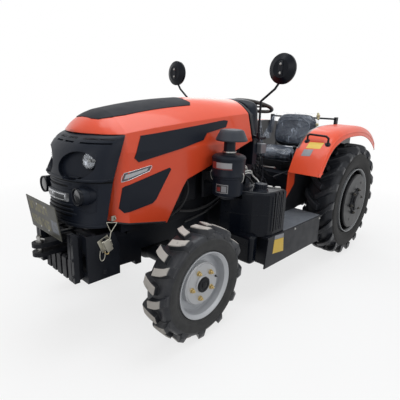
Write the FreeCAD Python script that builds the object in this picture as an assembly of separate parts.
# Greenhouse tractor, built as separate pieces.
# Units are millimetres. X runs forwards, Y to the tractor's left, Z up, and the ground is Z = 0.
# Lengths below are first laid out from the rear axle (X = 0) and every piece is moved by -X_MID when it is
# written, so that the origin lies on the ground under the middle of the whole machine.
import FreeCAD, Part
import os
import math

# ---- driving dimensions -------------------------------------------------------------------------------
WHEELBASE = 2100.0        # rear axle to front axle
R_REAR, W_REAR = 562.0, 282.0      # rear tyre over the lugs, and its width
R_FRONT, W_FRONT = 375.0, 190.0    # front tyre over the lugs, and its width
Y_REAR, Y_FRONT = 582.0, 570.0     # half tracks, to the middle of the tread
RIM_REAR, RIM_FRONT = 322.5, 219.5 # rim flange radii
KINGPIN_Y = 430.0         # half distance between the kingpins
STEER_ARM = 150.0         # kingpin to track rod
DISC = 9.0                # thickness of the wheel discs
DISC_Y_FRONT = 624.0      # outer face of the front wheel disc
DISC_Y_REAR = 735.0       # outer face of the rear wheel disc
HOOD_HALF = 305.0         # half width of the hood's sides
HOOD_TOP = 1501.0         # top of the hood
FENDER_OUT = 700.0        # half width over the fenders
FENDER_TOP = 1297.0       # top of the fenders
WALL_Y = 395.0            # inner face of the fenders' inner walls
DECK_TOP = 529.0          # foot deck
STEP_Y = 678.0            # half width over the steps
FRAME_HALF = 165.0        # half width of the front frame
LIFT_R = 300.0            # lift arm, pin to pin, and the same length on the lower link
LIFT_Z_HIGH, LIFT_Z_LOW = 880.0, 400.0   # lift shaft and lower link pins
LIFT_X = -120.0           # both of them lie behind the axle by this much
LINK_LEN = 720.0          # lower link, pin to ball eye
COLUMN_TILT = 15.0        # steering column from upright, degrees
WHEEL_R = 185.0           # steering wheel, to the middle of the rim
RUN = 0.05                # radial running clearance of every pin and shaft

X_HOOD = 1225.0           # rear edge of the hood
HOOD_GAP = 22.0           # between the hood's rear edge and the cowl
X_FRONT_END = WHEELBASE + 765.0    # tip of the tow fork
X_REAR_END = -(LINK_LEN - LIFT_X) - 30.0   # end of the lower links
X_MID = (X_FRONT_END + X_REAR_END) / 2.0
XF = WHEELBASE
STRETCH = (XF + 600.0 - X_HOOD) / 1475.0   # hood length against the drawn one

os.makedirs("parts", exist_ok=True)


# ---- helpers ------------------------------------------------------------------------------------------
def vec(x, y, z):
    return FreeCAD.Vector(x, y, z)


def save(name, shape):
    shape = shape.copy()
    shape.translate(vec(-X_MID, 0, 0))
    shape.exportStep("parts/" + name + ".step")


def box(x0, x1, y0, y1, z0, z1):
    return Part.makeBox(x1 - x0, y1 - y0, z1 - z0, vec(x0, y0, z0))


def rod(r, a, b):
    a, b = vec(*a), vec(*b)
    return Part.makeCylinder(r, (b - a).Length, a, b - a)


def fuse(parts):
    out = parts[0]
    if len(parts) > 1:
        out = out.multiFuse(parts[1:])
    return out.removeSplitter()


def biggest(shape):
    """The largest solid that a cut leaves."""
    return max(shape.Solids, key=lambda s: s.Volume)


def both(shape):
    """The shape and its mirror image on the right side, as separate solids."""
    return Part.makeCompound([shape, mirror(shape)])


def mirror(shape):
    return shape.mirror(vec(0, 0, 0), vec(0, 1, 0))


def poly_xz(points, y0, y1):
    pts = [vec(x, y0, z) for x, z in points]
    return Part.Face(Part.makePolygon(pts + pts[:1])).extrude(vec(0, y1 - y0, 0))


def poly_xy(points, z0, z1):
    pts = [vec(x, y, z0) for x, y in points]
    return Part.Face(Part.makePolygon(pts + pts[:1])).extrude(vec(0, 0, z1 - z0))


def poly_yz(points, x0, x1):
    pts = [vec(x0, y, z) for y, z in points]
    return Part.Face(Part.makePolygon(pts + pts[:1])).extrude(vec(x1 - x0, 0, 0))


def spline(points):
    c = Part.BSplineCurve()
    c.interpolate([vec(*p) for p in points])
    return c.toShape()


def line(a, b):
    return Part.makeLine(vec(*a), vec(*b))


def round_along(shape, r, test):
    """Fillet the edges whose direction and place pass the test."""
    edges = [e for e in shape.Edges if test(e)]
    return shape.makeFillet(r, edges) if edges else shape


def upright(e):
    a, b = e.Vertexes[0].Point, e.Vertexes[-1].Point
    return abs(a.x - b.x) < 0.01 and abs(a.y - b.y) < 0.01


def across(e):
    a, b = e.Vertexes[0].Point, e.Vertexes[-1].Point
    return abs(a.x - b.x) < 0.01 and abs(a.z - b.z) < 0.01


def bent_tube(r, points):
    parts = []
    for a, b in zip(points, points[1:]):
        parts.append(rod(r, a, b))
    for p in points[1:-1]:
        parts.append(Part.makeSphere(r, vec(*p)))
    return fuse(parts)


def ring(profile, x, z):
    """Turn a (radius, y) outline about the Y axis line through x, z."""
    pts = [vec(x + r, y, z) for r, y in profile]
    face = Part.Face(Part.makePolygon(pts + pts[:1]))
    return face.revolve(vec(x, 0, z), vec(0, 1, 0), 360)


def smooth_ring(inner, side_a, side_b, x, z):
    """As ring, with two lists of (radius, y) points drawn as smooth curves that meet a flat tread."""
    def curve(pts, first):
        c = Part.BSplineCurve()
        v = [vec(x + r, y, z) for r, y in pts]
        if first:
            c.interpolate(Points=v, InitialTangent=v[1] - v[0], FinalTangent=vec(0, 60, 0))
        else:
            c.interpolate(Points=v, InitialTangent=vec(0, 60, 0), FinalTangent=v[-1] - v[-2])
        return c.toShape()
    edges = [curve(side_a, True), line((x + side_a[-1][0], side_a[-1][1], z),
                                       (x + side_b[0][0], side_b[0][1], z)), curve(side_b, False)]
    pts = [side_b[-1]] + inner + [side_a[0]]
    for a, b in zip(pts, pts[1:]):
        edges.append(line((x + a[0], a[1], z), (x + b[0], b[1], z)))
    return Part.Face(Part.Wire(edges)).revolve(vec(x, 0, z), vec(0, 1, 0), 360)


def hx(x):
    """Station along the hood, stretched with the wheelbase."""
    return X_HOOD + (x - 1225.0) * STRETCH


def hz(z):
    return z * HOOD_TOP / 1501.0


# ---- wheels -------------------------------------------------------------------------------------------
def tyre(xc, yc, zc, R, W, rf):
    """Plain tyre ring, as wide as its lugs, on its rim seat."""
    h = W / 2.0
    seat = rf - 17.0
    k = R - rf
    half = [(rf + 3, h * 0.90), (rf + k * 0.16, h * 0.985), (rf + k * 0.40, h), (rf + k * 0.66, h * 0.97),
            (rf + k * 0.84, h * 0.90), (rf + k * 0.95, h * 0.79), (R, h * 0.62)]
    side = h * 0.80
    inner = [(rf + 0.5, yc + side), (seat, yc + side - 3), (seat, yc - side + 3), (rf + 0.5, yc - side)]
    return smooth_ring(inner, [(r, yc - y) for r, y in half], [(r, yc + y) for r, y in half[::-1]], xc,
                       zc)


def rim(xc, yc, zc, W, rf, out, disc_y, disc_r, hub_r, hub_in, hub_out, bore):
    """Rim barrel with two flanges, a disc that stands out from it, and a hub.

    out is the flange's distance from the tread's middle. The disc is flat out to disc_r, at disc_y, and
    turns back to the barrel's well."""
    h = W / 2.0 * 0.80
    seat = rf - 17.0
    well = rf - 34.0
    barrel = ring([(seat, yc - h + 3.0), (seat, yc + h - 3.0), (rf, yc + h + 0.5), (rf, yc + out),
                   (rf - 7, yc + out),
                   (rf - 24, yc + h - 8), (rf - 27, yc + 20), (well, yc + 8), (well, yc - 14),
                   (rf - 27, yc - 28),
                   (rf - 24, yc - h + 8), (rf - 7, yc - out), (rf, yc - out), (rf, yc - h - 0.5)], xc, zc)
    foot = yc + 4.0                                 # where the disc meets the barrel
    half = DISC / 2
    disc = ring([(hub_r - 6, disc_y - DISC), (disc_r - DISC, disc_y - DISC),
                 (disc_r - DISC, foot + half), (disc_r - DISC, foot - half),
                 (well + 4, foot - half), (well + 4, foot + half), (disc_r, foot + half),
                 (disc_r, disc_y - DISC),
                 (disc_r - DISC, disc_y), (hub_r - 6, disc_y)], xc, zc)
    hub = ring([(bore, hub_in), (hub_r, hub_in), (hub_r, hub_out - 8), (hub_r - 10, hub_out),
                (0, hub_out), (0, hub_out - 8), (bore, hub_out - 8)], xc, zc)
    return fuse([barrel, disc, hub])


def wheel(x, yc, z, R, W, rf, front):
    t = tyre(x, yc, z, R, W, rf)
    if front:
        m = rim(x, yc, z, W, rf, 85.0, DISC_Y_FRONT, 141.0, 56.0, KINGPIN_Y + 72.0, DISC_Y_FRONT + 10.0,
                30.0 + RUN)
    else:
        m = rim(x, yc, z, W, rf, 137.0, DISC_Y_REAR, 270.0, 80.0, yc - 62.0, DISC_Y_REAR + 30.0,
                35.0 + RUN)
    return t, m


tl, ml = wheel(0.0, Y_REAR, R_REAR, R_REAR, W_REAR, RIM_REAR, False)
save("tyre_rear_left", tl)
save("rim_rear_left", ml)
save("tyre_rear_right", mirror(tl))
save("rim_rear_right", mirror(ml))
tl, ml = wheel(XF, Y_FRONT, R_FRONT, R_FRONT, W_FRONT, RIM_FRONT, True)
save("tyre_front_left", tl)
save("rim_front_left", ml)
save("tyre_front_right", mirror(tl))
save("rim_front_right", mirror(ml))

# ---- driveline: rear axle housing, gearbox, engine ----------------------------------------------------
LX, LZH, LZL = LIFT_X, LIFT_Z_HIGH, LIFT_Z_LOW
case = round_along(box(-280, 320, -170, 170, 400, 820), 30, upright)
lid = round_along(box(-290, 15, -150, 150, 810, 960), 25, upright)
side = [rod(78, (0, 160, R_REAR), (0, 380, R_REAR)), rod(112, (0, 372, R_REAR), (0, 392, R_REAR)),
        rod(35, (0, 390, R_REAR), (0, DISC_Y_REAR + 18, R_REAR)),
        rod(44, (0, 390, R_REAR), (0, Y_REAR - 68, R_REAR)),
        Part.makeCone(125, 80, 100, vec(0, 150, R_REAR), vec(0, 1, 0)),
        rod(12.5, (LX, 150, LZL), (LX, 338, LZL)), rod(26, (LX, 150, LZL), (LX, 276, LZL))]
side += [mirror(s) for s in side]
ears = [box(-352, -270, s * 35 - 8, s * 35 + 8, 668, 752) for s in (-1, 1)]
pto = [rod(17.5, (-270, 0, 560), (-372, 0, 560)), rod(60, (-279, 0, 560), (-288, 0, 560)),
       box(-372, -280, -90, 90, 640, 646), box(-372, -280, -90, -84, 560, 646),
       box(-372, -280, 84, 90, 560, 646)]
rear = fuse([case, lid] + side + ears + pto)
rear = rear.cut(rod(9.6, (-322, -60, 722), (-322, 60, 722)))
rear = rear.cut(rod(25 + RUN, (LX, -400, LZH), (LX, 400, LZH)))
save("rear_housing", rear)

gear = fuse([box(320, 1000, -200, 200, 430, 620),
             poly_yz([(-200, 600), (200, 600), (120, 690), (-120, 690)], 320, 1000),
             poly_yz([(-215, 420), (215, 420), (215, 640), (140, 800), (-140, 800), (-215, 640)], 1000,
                     1240)])
save("gearbox", gear)
engine = fuse([box(1240, hx(1600), -195, 195, 470, 1210), box(hx(1600), hx(2330), -165, 165, 640, 1210)])
save("engine_block", engine)

# ---- front frame, axle, rack --------------------------------------------------------------------------
frame = poly_xz([(hx(1600), 470), (XF - 175, 430), (XF - 170, 400), (XF - 125, 400), (XF - 125, 505),
                 (XF + 125, 505), (XF + 125, 400),
                 (XF + 170, 400), (XF + 180, 430), (XF + 460, 440), (XF + 460, 640), (hx(1600), 640)],
                 -FRAME_HALF, FRAME_HALF)
RAD_FACE = hx(2430)       # front of the radiator, which keeps its place behind the nose cap
radiator = box(RAD_FACE - 80, RAD_FACE, -240, 240, 690, 1200)
radiator_foot = box(RAD_FACE - 80, RAD_FACE, -FRAME_HALF, FRAME_HALF, 640, 700)
save("front_frame", frame)
save("radiator", fuse([radiator, radiator_foot]))

AZ = R_FRONT + 60.0
BEAM_END = KINGPIN_Y - 75.0          # end of the axle beam, inside the web of the yoke
WEB_IN, WEB_OUT = KINGPIN_Y - 95.0, KINGPIN_Y - 68.0   # the web, clear of the turning knuckle
beam = [rod(50, (XF, -BEAM_END, AZ), (XF, BEAM_END, AZ)), rod(66, (XF, -75, AZ), (XF, 75, AZ)),
        rod(34, (XF - 125, 0, AZ), (XF + 125, 0, AZ)),
        Part.makeCone(66, 50, 50, vec(XF, 75, AZ), vec(0, 1, 0)),
        Part.makeCone(66, 50, 50, vec(XF, -75, AZ), vec(0, -1, 0))]
ends = []
for s in (1, -1):
    ya, yb = sorted((s * WEB_IN, s * WEB_OUT))
    ends.append(box(XF - 45, XF + 45, ya, yb, R_FRONT - 135, R_FRONT + 185))
    for z0 in (R_FRONT - 135, R_FRONT + 160):
        ya, yb = sorted((s * (WEB_IN + 5), s * KINGPIN_Y))
        ends.append(box(XF - 45, XF + 45, ya, yb, z0, z0 + 25))
        ends.append(rod(45, (XF, s * KINGPIN_Y, z0), (XF, s * KINGPIN_Y, z0 + 25)))
    ends.append(rod(20, (XF, s * KINGPIN_Y, R_FRONT - 130), (XF, s * KINGPIN_Y, R_FRONT + 180)))
save("front_axle", fuse(beam + ends))


def knuckle(side):
    """Final drive case that turns about the kingpin, with the wheel's stub and the track rod's arm."""
    k = KINGPIN_Y
    z = R_FRONT
    parts = [rod(55, (XF, k, z - 104), (XF, k, z + 154)),
             Part.makeCone(70, 46, 60, vec(XF, k + 8, z), vec(0, 1, 0)),
             rod(30, (XF, k, z), (XF, DISC_Y_FRONT - 2.0, z)),
             box(XF - STEER_ARM, XF, k - 18, k + 18, z - 75, z - 59),
             rod(22, (XF - STEER_ARM, k, z - 75), (XF - STEER_ARM, k, z - 59)),
             rod(8, (XF - STEER_ARM, k, z - 104), (XF - STEER_ARM, k, z - 60))]
    body = fuse(parts)
    body = body.cut(rod(20 + RUN, (XF, k, z - 140), (XF, k, z + 190)))
    return body if side > 0 else mirror(body)


save("knuckle_left", knuckle(1))
save("knuckle_right", knuckle(-1))
ta, tz = XF - STEER_ARM, R_FRONT - 89
track = [rod(12, (ta, -KINGPIN_Y, tz), (ta, KINGPIN_Y, tz))]
for s in (1, -1):
    track.append(rod(21, (ta, s * KINGPIN_Y, tz - 10), (ta, s * KINGPIN_Y, tz + 10)))
    ya, yb = sorted((s * (KINGPIN_Y - 100), s * (KINGPIN_Y - 35)))
    track.append(rod(17, (ta, ya, tz), (ta, yb, tz)))
track = fuse(track)
for s in (1, -1):
    track = track.cut(rod(8 + RUN, (ta, s * KINGPIN_Y, tz - 30), (ta, s * KINGPIN_Y, tz + 30)))
save("track_rod", track)

# rack at the nose: side plates, cross beam, upright bars
RX = XF + 460.0
FLANGE_X = XF + 585.0      # front face of the rack's flanges
BARS = ((178, 206), (213, 241))          # the two upright bars on each side, in Y
cheek = poly_xz([(XF + 375, 455), (FLANGE_X, 455), (FLANGE_X, 735), (XF + 410, 725), (XF + 375, 640)],
                272, 288)
flange = box(FLANGE_X - 10, FLANGE_X, 178, 288, 455, 735).cut(box(XF, FLANGE_X + 5, 213, 272, 515, 645))
rack = [cheek, mirror(cheek), flange, mirror(flange)]
rack += [box(RX, RX + 60, -272, 272, 470, 640), box(RX + 60, RX + 80, -272, 272, 576, 735)]
for s in (1, -1):
    for y0, y1 in BARS:
        ya, yb = sorted((s * y0, s * y1))
        rack.append(box(RX + 150, RX + 182, ya, yb, 457, 742))
    ya, yb = sorted((s * 195, s * 225))
    rack.append(box(FLANGE_X - 5, RX + 155, ya, yb, 470, 725))
    ya, yb = sorted((s * 180, s * 272))
    rack.append(box(RX + 60, FLANGE_X - 5, ya, yb, 660, 690))
save("front_rack", fuse(rack))
weights = []
for i in range(5):
    y = (i - 2) * 72.0
    w = poly_xz([(RX + 60, 431), (RX + 160, 431), (RX + 160, 560), (RX + 150, 572), (RX + 84, 572),
                 (RX + 60, 572)], y - 25, y + 25)
    weights.append(w)
save("front_weights", Part.makeCompound(weights))
fork = []
for z0, z1 in ((583, 608), (637, 662)):
    fork.append(box(RX + 90, X_FRONT_END - 42, -42, 42, z0, z1))
    fork.append(rod(42, (X_FRONT_END - 42, 0, z0), (X_FRONT_END - 42, 0, z1)))
fork.append(box(RX + 80, RX + 100, -110, 110, 580, 700))
fork = fuse(fork).cut(rod(14, (X_FRONT_END - 42, 0, 560), (X_FRONT_END - 42, 0, 700)))
save("tow_fork", fork)
tp = X_FRONT_END - 42
pin = fuse([rod(13.95, (tp, 0, 566), (tp, 0, 690)), rod(20, (tp, 0, 662), (tp, 0, 672)),
            rod(5, (tp, 0, 684), (tp, 70, 700)), rod(13.95, (tp, 0, 684), (tp, 0, 700))])
save("tow_pin", pin)

# number plate on two straps
plate = box(-2, 2, -192, 192, -100, 100)
plate.rotate(vec(0, 0, 0), vec(0, 1, 0), 7.3)
plate.translate(vec(XF + 688, 0, 807))
straps = []
for y in (-60, 60):
    straps.append(box(RX + 80, XF + 676, y - 12, y + 12, 712, 724))
straps = [s.cut(box(XF + 680, XF + 800, -300, 300, 600, 900)) for s in straps]
lean = box(-6, -2, -80, 80, -104, 0)
lean.rotate(vec(0, 0, 0), vec(0, 1, 0), 7.3)
lean.translate(vec(XF + 688, 0, 807))
save("plate_bracket", fuse(straps + [lean]).cut(plate))
save("number_plate", plate)

# ---- deck, steps, seat platform -----------------------------------------------------------------------
deck = [box(600, 1000, 200, STEP_Y, DECK_TOP - 14, DECK_TOP),
        box(1000, 1470, 215, STEP_Y, DECK_TOP - 14, DECK_TOP),
        poly_xz([(635, 288), (1488, 288), (1462, DECK_TOP - 14), (635, DECK_TOP - 14)], STEP_Y - 10,
                STEP_Y),
        box(640, 648, 430, STEP_Y - 10, 288, DECK_TOP - 14),
        box(1420, 1428, 350, STEP_Y - 10, 288, DECK_TOP - 14),
        box(640, 1428, 430, STEP_Y - 10, 288, 300)]
deck_l = fuse(deck)
save("steps", both(deck_l))
stand = fuse([box(20, 620, -WALL_Y, WALL_Y, 820, 835), box(606, 620, -WALL_Y, WALL_Y, DECK_TOP, 825)])
stand = stand.cut(fuse([box(600, 630, -202, 202, 400, 692)]))
save("seat_platform", stand)

# ---- fenders ------------------------------------------------------------------------------------------
FT = FENDER_TOP - 1297.0
IN = [(780, 895), (735, 985), (672, 1090), (590, 1175), (505, 1230), (400, 1265), (150, 1293),
      (-50, 1297), (-224, 1286), (-400, 1245), (-520, 1180)]
OUT = [(785, 897), (733, 962), (660, 1060), (573, 1130), (475, 1170), (361, 1198), (150, 1214),
       (-50, 1207), (-200, 1172), (-333, 1114), (-430, 1050)]


def fender_line(f):
    return [(a[0] * (1 - f) + b[0] * f, a[1] * (1 - f) + b[1] * f + FT) for a, b in zip(IN, OUT)]


def offset_line(pts, d):
    out = []
    for i, p in enumerate(pts):
        a, b = pts[max(i - 1, 0)], pts[min(i + 1, len(pts) - 1)]
        tx, tz = b[0] - a[0], b[1] - a[1]
        n = math.hypot(tx, tz)
        out.append((p[0] + tz / n * d, p[1] - tx / n * d))
    return out


def fender_section(y, f, t):
    top = fender_line(f)
    low = offset_line(top, -t)
    e = [spline([(x, y, z) for x, z in top]), line((top[-1][0], y, top[-1][1]),
                                                   (low[-1][0], y, low[-1][1])),
         spline([(x, y, z) for x, z in low[::-1]]),
         line((low[0][0], y, low[0][1]), (top[0][0], y, top[0][1]))]
    return Part.Wire(e)


stations = [(WALL_Y, 0.04), (450, 0.0), (545, 0.02), (615, 0.07), (655, 0.26), (682, 0.6),
            (FENDER_OUT, 1.0)]
shell = Part.makeLoft([fender_section(y, f, 7.0) for y, f in stations], True, False)
edge = [(p[0], p[1] - 3) for p in fender_line(0.04)]
wall = poly_xz([(p[0], p[1]) for p in edge] + [(-520, 1000), (-330, 800), (-150, 690), (150, 690),
                                               (400, 560), (600, DECK_TOP), (790, DECK_TOP)],
               WALL_Y, WALL_Y + 8)
fender = fuse([shell, wall])
save("fender_left", fender)
save("fender_right", mirror(fender))


def surface_z(x, y):
    """Height of the fender's top at a point."""
    f = 0.0
    for (y0, f0), (y1, f1) in zip(stations, stations[1:]):
        if y0 <= y <= y1:
            f = f0 + (f1 - f0) * (y - y0) / (y1 - y0)
    pts = fender_line(f)
    for a, b in zip(pts, pts[1:]):
        if b[0] <= x <= a[0]:
            return a[1] + (b[1] - a[1]) * (x - a[0]) / (b[0] - a[0])
    return pts[0][1]


za, zb = surface_z(600, 455), surface_z(600, 648)
rail = bent_tube(9.0, [(600, 455, za - 14), (600, 455, za + 48), (600, 472, za + 62),
                       (600, 625, za + 56), (600, 648, za + 40), (600, 648, zb - 14)])
feet = [rod(20, (600, 455, za - 16), (600, 455, za + 6)),
        rod(20, (600, 648, zb - 16), (600, 648, zb + 6))]
rail = fuse([rail] + feet).cut(fender)
rail = biggest(rail)
cross = [rod(9.0, (-115, -380, FENDER_TOP + 47), (-115, 380, FENDER_TOP + 47))]
for s in (1, -1):
    ya, yb = sorted((s * (WALL_Y - 24), s * WALL_Y))
    cross.append(box(-138, -92, ya, yb, FENDER_TOP - 150, FENDER_TOP + 66))
cross = fuse(cross)
save("rails", Part.makeCompound([rail, mirror(rail), cross]))
# rear lamps on the inner walls' rear ends
save("rear_lamps", both(box(-508, -458, WALL_Y - 105, WALL_Y, 1062, 1150)))

# ---- seat ---------------------------------------------------------------------------------------------
base = fuse([box(120, 460, -130, 130, 835, 900), box(90, 500, -170, 170, 900, 930)])
save("seat_base", base)
cushion = round_along(box(80, 520, -240, 240, 930, 1050), 38, lambda e: True)
back = poly_yz([(-235, 1000), (235, 1000), (262, 1060), (262, 1200), (235, 1320), (190, 1380),
                (130, 1400), (-130, 1400), (-190, 1380),
                (-235, 1320), (-262, 1200), (-262, 1060)], -10, 80)
back = round_along(back, 22, lambda e: abs(e.Vertexes[0].Point.x - e.Vertexes[-1].Point.x) < 0.01)
back.rotate(vec(70, 0, 1050), vec(0, 1, 0), -9)
back = back.cut(box(-200, 560, -300, 300, 900, 1050))
link = box(30, 80, -40, 40, 915, 1052)
save("seat", fuse([cushion, back, link]))

# ---- cowl, steering column, mirrors -------------------------------------------------------------------
def arch_wire(x, w, wc, zc, zt, zb, off=0.0):
    """Cross-section of the hood or cowl: upright sides, a lean up to the crease, and a rounded top."""
    w, wc, zc, zt, zm, zb = w + off, wc + off * 0.8, hz(zc) + off * 0.6, hz(zt) + off, hz(1180), hz(zb)
    pts = [(x, wc * f, zc + (zt - zc) * (1 - f ** 2.3)) for f in (1.0, 0.9, 0.76, 0.55, 0.3, 0.0)]
    pts += [(x, -p[1], p[2]) for p in pts[-2::-1]]
    e = [line((x, w, zb), (x, w, zm)), line((x, w, zm), (x, wc, zc)), spline(pts),
         line((x, -wc, zc), (x, -w, zm)), line((x, -w, zm), (x, -w, zb)), line((x, -w, zb), (x, w, zb))]
    return Part.Wire(e)


HW = HOOD_HALF - 305.0
cowl = Part.makeLoft([arch_wire(X_HOOD - HOOD_GAP, 300 + HW, 240 + HW, 1390, 1495, 990),
                      arch_wire(X_HOOD - 75, 300 + HW, 238 + HW, 1385, 1488, 990)], True, True)
DASH = [(1155, 285, 225, 1365, 1480), (1045, 244, 184, 1345, 1462), (990, 196, 146, 1300, 1420)]
dash_wires = [arch_wire(X_HOOD - 1225 + x, w + HW, wc + HW, zc, zt, 1110) for x, w, wc, zc, zt in DASH]
dash = Part.makeLoft(dash_wires, True, True)
n = vec(-math.sin(math.radians(COLUMN_TILT)), 0, math.cos(math.radians(COLUMN_TILT)))
WHEEL_Z = 1450.0          # height of the steering wheel at the drawn hood; it rises with the hood
centre = vec(850, 0, hz(WHEEL_Z))
FOOT = 560.0 + (hz(WHEEL_Z) - WHEEL_Z) / n.z   # from the wheel down to the foot of the column


def on_column(d):
    p = centre + n * d
    return (p.x, p.y, p.z)


STAND_TOP = hz(990) + 10  # the stand reaches this far into the cowl
pedestal = [box(960, X_HOOD - 70, -110, 110, 800, STAND_TOP),
            box(X_HOOD - 90, X_HOOD - 20, -250, 250, 800, STAND_TOP),
            box(1000, X_HOOD - 70, -110, 110, 640, 810),
            rod(26, on_column(-FOOT), on_column(-52)), rod(10, on_column(-60), on_column(-8))]
arm = bent_tube(11, [(X_HOOD - 45, 290, hz(1217)), (X_HOOD - 45, 387, hz(1217)),
                     (X_HOOD + 45, 387, hz(1217))])
arms = [arm, mirror(arm)]
HPX, HPZ = X_HOOD + 12, hz(1476)
LUG = [(-42, -36), (-10, -36), (8, -8), (8, 6), (-3, 8), (-9, 2), (-24, -16), (-42, -16)]
lug = [poly_xz([(HPX + x, HPZ + z) for x, z in LUG], y - 4, y + 4) for y in (-60, 60)]
hpin = rod(6, (HPX, -70, HPZ), (HPX, 70, HPZ))
cowl_all = fuse([cowl, dash] + pedestal + arms + lug + [hpin]).cut(gear)
save("cowl", cowl_all)


def mirror_unit():
    """Round mirror on a bent stem that stands on the end of the cowl's arm."""
    x = X_HOOD + 45
    z = hz(1217) + 11
    y_head, z_head, r_head = 549.0, 1713.0, 104.0
    stem = bent_tube(8.5, [(x, 387, z), (x, 387, 1490), (x, 500, 1578), (x, 530, 1620),
                           (x, y_head, z_head - 8)])
    foot = rod(14, (x, 387, z), (x, 387, z + 29))
    head = rod(r_head, (x - 10, y_head, z_head), (x + 8, y_head, z_head))
    shell = Part.makeCone(r_head, 62, 20, vec(x + 8, y_head, z_head), vec(1, 0, 0))
    return fuse([stem, foot, head, shell])


save("mirrors", both(mirror_unit()))

# steering wheel: rim, three spokes, hub
tor = Part.makeTorus(WHEEL_R, 13, centre, n)
hub = rod(30, on_column(-38), on_column(10))
spokes = []
u = vec(math.cos(math.radians(COLUMN_TILT)), 0, math.sin(math.radians(COLUMN_TILT)))
for a in (90, 210, 330):
    d = u * math.cos(math.radians(a)) + vec(0, 1, 0) * math.sin(math.radians(a))
    p = centre + d * WHEEL_R
    spokes.append(rod(8, on_column(-8), (p.x, p.y, p.z)))
sw = fuse([tor, hub] + spokes).cut(rod(10 + RUN, on_column(-70), on_column(-7.5)))
save("steering_wheel", sw)

# pedals and levers
ped = []
PEDAL_X = 905
for y, end_z in ((165, 800), (-150, 800), (-215, DECK_TOP + 1)):
    pad = box(PEDAL_X, PEDAL_X + 14, y - 28, y + 28, 640, 700)
    shank = rod(9, (PEDAL_X + 10, y, 670), (PEDAL_X + 120, y, 700))
    post = rod(9, (PEDAL_X + 120, y, 700), (PEDAL_X + 120, y, end_z))
    ped.append(fuse([pad, shank, post]))
bar = rod(11, (1025, -230, 700), (1025, 180, 700))
pedset = fuse(ped + [bar])
pedset = pedset.cut(fuse([box(1000, X_HOOD - 70, -110, 110, 640, 810), gear]))
save("pedals", Part.makeCompound(pedset.Solids))
SEAT_DECK = 835.0
above_deck = box(0, 2000, -500, 500, SEAT_DECK, 1400)
lev = []
for x, y, tx, ty, h in ((520, 300, 30, 10, 250), (440, -300, 20, -10, 260),
                        (540, -330, 20, 0, 200), (470, 330, -10, 10, 190)):
    top = (x + tx, y + ty, SEAT_DECK + h)
    stick = rod(7, (x, y, SEAT_DECK - 0.1), top)
    knob = Part.makeSphere(19, vec(*top))
    boot = rod(24, (x, y, SEAT_DECK), (x, y, SEAT_DECK + 15))
    lev.append(fuse([stick, knob, boot]).common(above_deck))
gear_stick = [rod(8, (760, 60, 688), (740, 70, 960)), Part.makeSphere(22, vec(740, 70, 965)),
              rod(32, (760, 60, 688), (760, 60, 712))]
lev.append(fuse(gear_stick).cut(gear))
save("levers", Part.makeCompound(lev))

# ---- tank, battery box, air cleaner, filter, exhaust --------------------------------------------------
TANK_TOP = 862.0
tank_plan = [(1245, 330), (1245, 664), (1400, 664), (1448, 652), (1490, 618), (1530, 560), (1566, 490),
             (1596, 410), (1612, 330)]
tank = poly_xy(tank_plan, DECK_TOP, TANK_TOP)
tank = round_along(tank, 26, lambda e: e.BoundBox.ZMin > TANK_TOP - 1)
for x in (1285, 1335, 1385):
    tank = tank.cut(box(x, x + 14, 655, 700, 560, TANK_TOP + 50))
cap = fuse([rod(52, (1440, 560, TANK_TOP - 20), (1440, 560, 880)),
            rod(44, (1440, 560, 880), (1440, 560, 912))])
bat = round_along(box(1250, 1560, -650, -330, DECK_TOP, 800), 16, upright)
save("battery_box", fuse([bat, box(1262, 1548, -640, -340, 799, 815)]))

acx, acy = hx(1660), 442
ac = fuse([rod(98, (acx, acy, 835), (acx, acy, 1120)), rod(103, (acx, acy, 968), (acx, acy, 980)),
           Part.makeCone(103, 96, 16, vec(acx, acy, 1112), vec(0, 0, 1)),
           rod(39, (acx, acy, 1120), (acx, acy, 1232)), rod(60, (acx, acy, 812), (acx, acy, 840)),
           Part.makeCone(108, 106, 10, vec(acx, acy, 1226), vec(0, 0, 1)),
           Part.makeCone(106, 58, 66, vec(acx, acy, 1236), vec(0, 0, 1)),
           box(acx - 20, acx + 20, 165, acy - 90, 900, 940),
           rod(32, (acx - 10, 165, 1010), (acx - 10, acy - 60, 1010))])
if acx - 20 < hx(1600):
    ac = ac.cut(engine)
save("air_cleaner", ac)
recess = rod(98 + 8, (acx, acy, 804), (acx, acy, 1000))     # the tank is hollowed out beneath it
save("fuel_tank", biggest(fuse([tank, cap]).cut(recess)))
flt = fuse([rod(34, (1470, 262, 860), (1470, 262, 960)), rod(40, (1470, 262, 955), (1470, 262, 985)),
            box(1450, 1490, 195, 235, 955, 985)])
save("fuel_filter", flt)
ex = fuse([rod(62, (1290, -275, 430), (1560, -275, 430)), rod(24, (1560, -275, 430), (1590, -275, 430)),
           rod(24, (1590, -275, 430), (1590, -180, 480)),
           Part.makeSphere(24, vec(1590, -275, 430)), rod(22, (1290, -275, 430), (1240, -275, 430)),
           rod(22, (1240, -275, 430), (1180, -275, 330)),
           Part.makeSphere(22, vec(1240, -275, 430)), box(1400, 1440, -275, -190, 480, 500),
           box(1400, 1440, -285, -265, 480, 500)])
ex = ex.cut(engine)
save("exhaust", biggest(ex))

# ---- hitch: drawbar -----------------------------------------------------------------------------------
draw = fuse([box(-480, 60, -32, 32, 330, 358), rod(32, (-480, 0, 330), (-480, 0, 358)),
             box(-140, 60, -70, 70, 350, 400), box(-270, -230, -60, 60, 322, 400)])
draw = draw.cut(rod(13, (-480, 0, 300), (-480, 0, 400)))
save("drawbar", draw)

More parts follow.
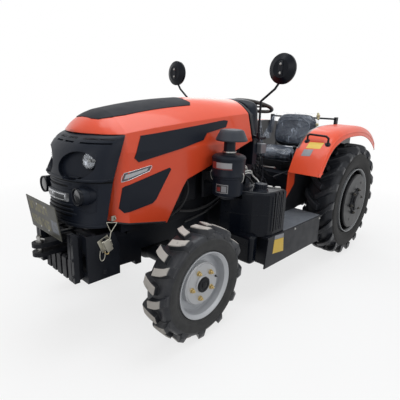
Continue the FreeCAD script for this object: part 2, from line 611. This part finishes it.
# ---- lift: arms on a turning shaft, rods, lower links -------------------------------------------------
arms = [rod(25, (LX, -316, LZH), (LX, 316, LZH))]
rods = []
links = []
for s in (1, -1):
    a0, a1 = sorted((s * 286, s * 314))
    p0, p1 = sorted((s * 288, s * 348))
    r0, r1 = sorted((s * 320, s * 344))
    ax = LX - LIFT_R
    arms += [box(ax, LX, a0, a1, LZH - 20, LZH + 20), rod(44, (LX, a0, LZH), (LX, a1, LZH)),
             rod(22, (ax, a0, LZH), (ax, a1, LZH)), rod(8, (ax, p0, LZH), (ax, p1, LZH))]
    rm = (r0 + r1) / 2
    one = fuse([rod(22, (ax, r0, LZH), (ax, r1, LZH)), rod(22, (ax, r0, LZL), (ax, r1, LZL)),
                rod(9, (ax, rm, LZL + 10), (ax, rm, LZH - 10)),
                rod(12, (ax, rm, LZL + 140), (ax, rm, LZH - 150))])
    rods.append(one.cut(rod(8 + RUN, (ax, p0, LZH), (ax, p1, LZH))).cut(rod(8 + RUN, (ax, p0, LZL),
            (ax, p1, LZL))))
    xe = LX - LINK_LEN
    l0, l1 = sorted((s * 282, s * 314))
    e0, e1 = sorted((s * 332, s * 367))
    bent = [(ax - 60, 286), (ax - 60, 314), (ax - 160, 349), (xe, 362), (xe, 338), (ax - 160, 321)]
    bend = poly_xy([(x, s * y) for x, y in bent], LZL - 22, LZL + 22)
    one = fuse([box(ax - 62, LX, a0, a1, LZL - 22, LZL + 22), rod(30, (LX, l0, LZL), (LX, l1, LZL)), bend,
                rod(30, (xe, e0, LZL), (xe, e1, LZL)), rod(8, (ax, p0, LZL), (ax, p1, LZL))])
    one = one.cut(rod(12.5 + RUN, (LX, s * 200, LZL), (LX, s * 400, LZL))).cut(rod(11.1,
            (xe, s * 300, LZL), (xe, s * 420, LZL)))
    links.append(one)
save("lift_arms", fuse(arms))
save("lift_rods", Part.makeCompound(rods))
save("lower_links", Part.makeCompound(links))

# ---- hood, nose and what they carry -------------------------------------------------------------------
SECT = [(1225, 303, 245, 1395, 1501), (1422.5, 304, 257, 1380, 1503), (1620, 305, 267, 1364, 1502),
        (1817.5, 305, 274, 1347, 1491),
        (2015, 305, 279, 1330, 1473), (2212.5, 304, 283, 1310, 1446),
        (2410, 302, 285, 1285, 1408), (2455, 280, 270, 1281, 1391), (2495, 248, 243, 1278, 1370),
        (2530, 200, 197, 1278, 1346),
        (2556, 142, 140, 1279, 1323), (2574, 84, 83, 1281, 1305), (2583, 34, 33, 1285, 1293)]


def slopes(xs, ys):
    """Slopes of a smooth line through the points that never overshoots them."""
    steps = [(b - a) / (q - p) for p, q, a, b in zip(xs, xs[1:], ys, ys[1:])]
    inner = [2 * a * b / (a + b) if a * b > 0 else 0.0 for a, b in zip(steps, steps[1:])]
    return [steps[0]] + inner + [steps[-1]]


def between(sections, share):
    """The same sections with share - 1 smooth ones put between each two."""
    columns = list(zip(*sections))
    xs = columns[0]
    out = []
    tangents = [slopes(xs, c) for c in columns[1:]]
    for i in range(len(sections) - 1):
        h = xs[i + 1] - xs[i]
        for k in range(share):
            t = k / share
            row = [xs[i] + h * t]
            for c, m in zip(columns[1:], tangents):
                row.append(c[i] * (1 + 2 * t) * (1 - t) ** 2 + m[i] * h * t * (1 - t) ** 2
                           + c[i + 1] * t * t * (3 - 2 * t) + m[i + 1] * h * t * t * (t - 1))
            out.append(tuple(row))
    return out + [sections[-1]]


LONG = 7                  # the first sections, which a single smooth loft joins


def hood_loft(off, back=0.0):
    """Filled hood, grown by off; back pulls the tip rearwards so that a skin is left there too."""
    def wire(section, pull=0.0):
        x, w, wc, zc, zt = section
        return arch_wire(hx(x) - pull, w + HW, wc + HW, zc, zt, 685, off)
    body = Part.makeLoft([wire(s) for s in SECT[:LONG]], True, False)
    tip = between(SECT[LONG - 1:], 3)
    pulls = [back * max(0.0, i - len(tip) + 10) / 9.0 for i in range(len(tip))]
    return body.fuse(Part.makeLoft([wire(s, p) for s, p in zip(tip, pulls)], True, True)).removeSplitter()


def hxz(points):
    return [(hx(x), hz(z)) for x, z in points]


full = hood_loft(0.0)
proud = hood_loft(4.0)
under = hood_loft(-6.0, 8.0)
skin = full.cut(under)
skin = skin.cut(poly_xz(hxz([(1200, 1183), (1246, 1183), (1740, 1028), (1940, 968), (1976, 925),
                             (2117, 702), (2117, 500), (1200, 500)]), -500, 500))
skin = skin.cut(poly_xz(hxz([(2110, 500), (2117, 702), (2564, 781), (2900, 840), (2900, 500)]), -500,
                        500))
LIP = 1279.5
skin = skin.cut(poly_xz(hxz([(2419, LIP), (2499, 1068), (2564, 781), (2600, 500), (2900, 500),
                             (2900, LIP)]), -500, 500))
skin = biggest(skin)
hinge_lugs = []
for y in (-40, 40):
    k = fuse([poly_xz([(HPX - 9, HPZ - 9), (HPX + 60, HPZ - 9), (HPX + 60, hz(1515)),
                       (HPX + 12, hz(1515)), (HPX - 9, HPZ + 6)], y - 5, y + 5)])
    hinge_lugs.append(k.common(under).cut(rod(6 + RUN, (HPX, -100, HPZ), (HPX, 100, HPZ))))
skin = fuse([skin] + hinge_lugs)
save("hood", skin)

band = proud.cut(hood_loft(0.3))     # what is glued on lies a hair off the skin
top_pts = [(2505, 0), (2504, 84), (2485, 128), (2452, 152), (2420, 168), (2339, 177), (1800, 170),
           (1776, 145), (1790, 100), (1795, 0)]
tp_full = [(hx(x), y) for x, y in top_pts] + [(hx(x), -y) for x, y in top_pts[-2:0:-1]]
insert = band.common(poly_xy(tp_full, hz(1290), hz(1600)))
save("hood_insert", biggest(insert))
side_up = poly_xz(hxz([(2312, 1271), (2182, 1282), (1858, 1315), (1549, 1349), (1504, 1343),
                       (1537, 1299), (1750, 1265), (1790, 1221), (2005, 1177),
                       (2195, 1145), (2339, 1121), (2368, 1147)]), 200, 500)
side_low = poly_xz(hxz([(2444, 979), (2428, 990), (2101, 1064), (2089, 1053), (2211, 876), (2239, 855),
                        (2438, 828), (2464, 858)]), 200, 500)
panels = []
for prism in (side_up, side_low):
    s = band.common(prism)
    s = biggest(s)
    panels += [s, mirror(s)]
save("hood_panels", Part.makeCompound(panels))


def nose_wire(z, pts, t):
    """Horizontal ring of the nose at a height: outer curve, inner curve t behind it, open to the rear."""
    left = [(hx(x), y + HW) for x, y in pts[:-1]] + [(hx(pts[-1][0]), 0.0)]
    outer = left + [(x, -y) for x, y in left[-2::-1]]
    kin = (left[0][1] - t) / left[0][1]
    li = [(left[0][0], left[0][1] - t)] + [(x - t * 0.9, y * kin) for x, y in left[1:]]
    inner = li + [(x, -y) for x, y in li[-2::-1]]
    z = hz(z)
    e = [spline([(x, y, z) for x, y in outer]),
         line((outer[-1][0], outer[-1][1], z), (inner[-1][0], inner[-1][1], z)),
         spline([(x, y, z) for x, y in inner[::-1]]),
         line((inner[0][0], inner[0][1], z), (outer[0][0], outer[0][1], z))]
    return Part.Wire(e)


NOSE = [(1335, [(2390, 285), (2440, 240), (2480, 170), (2505, 90), (2512, 0)]),
        (1278, [(2414, 286), (2476, 246), (2521, 184), (2551, 99), (2563, 0)]),
        (1240, [(2436, 299), (2522, 268), (2586, 202), (2618, 103), (2627, 0)]),
        (1170, [(2462, 301), (2556, 276), (2632, 205), (2667, 102), (2675, 0)]),
        (1050, [(2505, 302), (2592, 277), (2656, 207), (2692, 105), (2701, 0)]),
        (1000, [(2517, 302), (2602, 276), (2664, 205), (2698, 103), (2706, 0)])]
FASCIA = [(1060, [(2503, 300), (2583, 268), (2643, 198), (2681, 100), (2690, 0)]),
          (930, [(2533, 300), (2588, 262), (2635, 200), (2683, 105), (2696, 0)]),
          (770, [(2566, 300), (2632, 262), (2682, 190), (2704, 100), (2710, 0)])]
BELT = [(2300, 1062), (2506, 1050), (2560, 1037), (2600, 1030), (2650, 1028), (2760, 1030)]
wires = [nose_wire(z, p, 75.0) for z, p in NOSE]
cap_low = Part.makeLoft(wires[1:], True, False)
cap_low = cap_low.common(poly_xz(hxz(BELT + [(2760, 1300), (2300, 1300)]), -500, 500))
cap_top = Part.makeLoft(wires[:2], True, True).common(under)
cap_top = biggest(cap_top)
cap_all = fuse([cap_low, cap_top]).cut(skin)
# oval recess with the headlamp at its outer end, on both sides
side_dir = vec(-0.383, 0.898, 0.215)
side_dir.normalize()
out_n = vec(0.923, 0.355, 0.164)
out_n = out_n - side_dir * out_n.dot(side_dir)
out_n.normalize()
rc = vec(hx(2646), 150, hz(1108))
up_dir = out_n.cross(side_dir) * -1.0
if up_dir.z < 0:
    up_dir = up_dir * -1.0


def oval(c, a, b, depth, length):
    """Oval prism along the outward direction, from depth inside the centre."""
    pts = []
    for i in range(28):
        t = 2 * math.pi * i / 28
        p = c + side_dir * (a * math.cos(t)) + up_dir * (b * math.sin(t)) - out_n * depth
        pts.append(p)
    return Part.Face(Part.makePolygon(pts + pts[:1])).extrude(out_n * length)


recess = oval(rc, 126, 78, 25, 200)
cap_all = cap_all.cut(recess).cut(mirror(recess))
# vent slots near the top of the cap
VENTS = ((145, 284, 1251, 1259), (145, 284, 1229, 1237), (14, 95, 1251, 1259), (14, 95, 1229, 1237))
vent_depth = Part.makeLoft([nose_wire(z, p, 16.0) for z, p in NOSE[1:]], True, False)
for y0, y1, z0, z1 in VENTS:
    slot = box(hx(2400), hx(2760), y0, y1, hz(z0), hz(z1)).common(vent_depth)
    cap_all = cap_all.cut(slot).cut(mirror(slot))
cap_all = biggest(cap_all)
save("nose_cap", cap_all)
fascia = Part.makeLoft([nose_wire(z, p, 24.0) for z, p in FASCIA], True, False)
fascia = fascia.common(poly_xz(hxz([(x, z) for x, z in BELT] + [(2760, 600), (2300, 600)]), -500, 500))
lamp_y, lamp_z = 208.0, hz(948)
hole = rod(50.5, (hx(2520), lamp_y, lamp_z), (hx(2800), lamp_y, lamp_z))
fascia = fascia.cut(hole).cut(mirror(hole)).cut(skin)
fascia = biggest(fascia)
save("grille_fascia", fascia)

lens_c = rc + side_dir * 77 + up_dir * 7 - out_n * 25
head = Part.makeCylinder(46, 18, lens_c - out_n * 6, out_n).cut(cap_all)
head = biggest(head)
fog = fuse([rod(50.5, (hx(2588), lamp_y, lamp_z), (hx(2680), lamp_y, lamp_z)),
            rod(58, (hx(2560), lamp_y, lamp_z), (hx(2588), lamp_y, lamp_z))])
fog = fog.cut(fascia)
fog = biggest(fog)
save("head_lamps", both(head))
save("work_lamps", both(fog))


def fascia_wire(z, pts):
    """Horizontal outline of the fascia with everything behind it filled."""
    left = [(hx(x), y + HW) for x, y in pts[:-1]] + [(hx(pts[-1][0]), 0.0)]
    whole = left + [(x, -y) for x, y in left[-2::-1]]
    curve = spline([(x, y, hz(z)) for x, y in whole])
    chord = line((whole[-1][0], whole[-1][1], hz(z)), (whole[0][0], whole[0][1], hz(z)))
    return Part.Wire([curve, chord])


solid_fascia = Part.makeLoft([fascia_wire(z, p) for z, p in FASCIA], True, False)
bar_line = [(2712, 0), (2709, 60), (2697, 112), (2650, 112), (2650, -112), (2697, -112), (2709, -60)]
eb = poly_xy([(hx(x), y) for x, y in bar_line], hz(905), hz(951))
eb = eb.cut(solid_fascia).cut(fascia)
save("emblem_bar", biggest(eb))
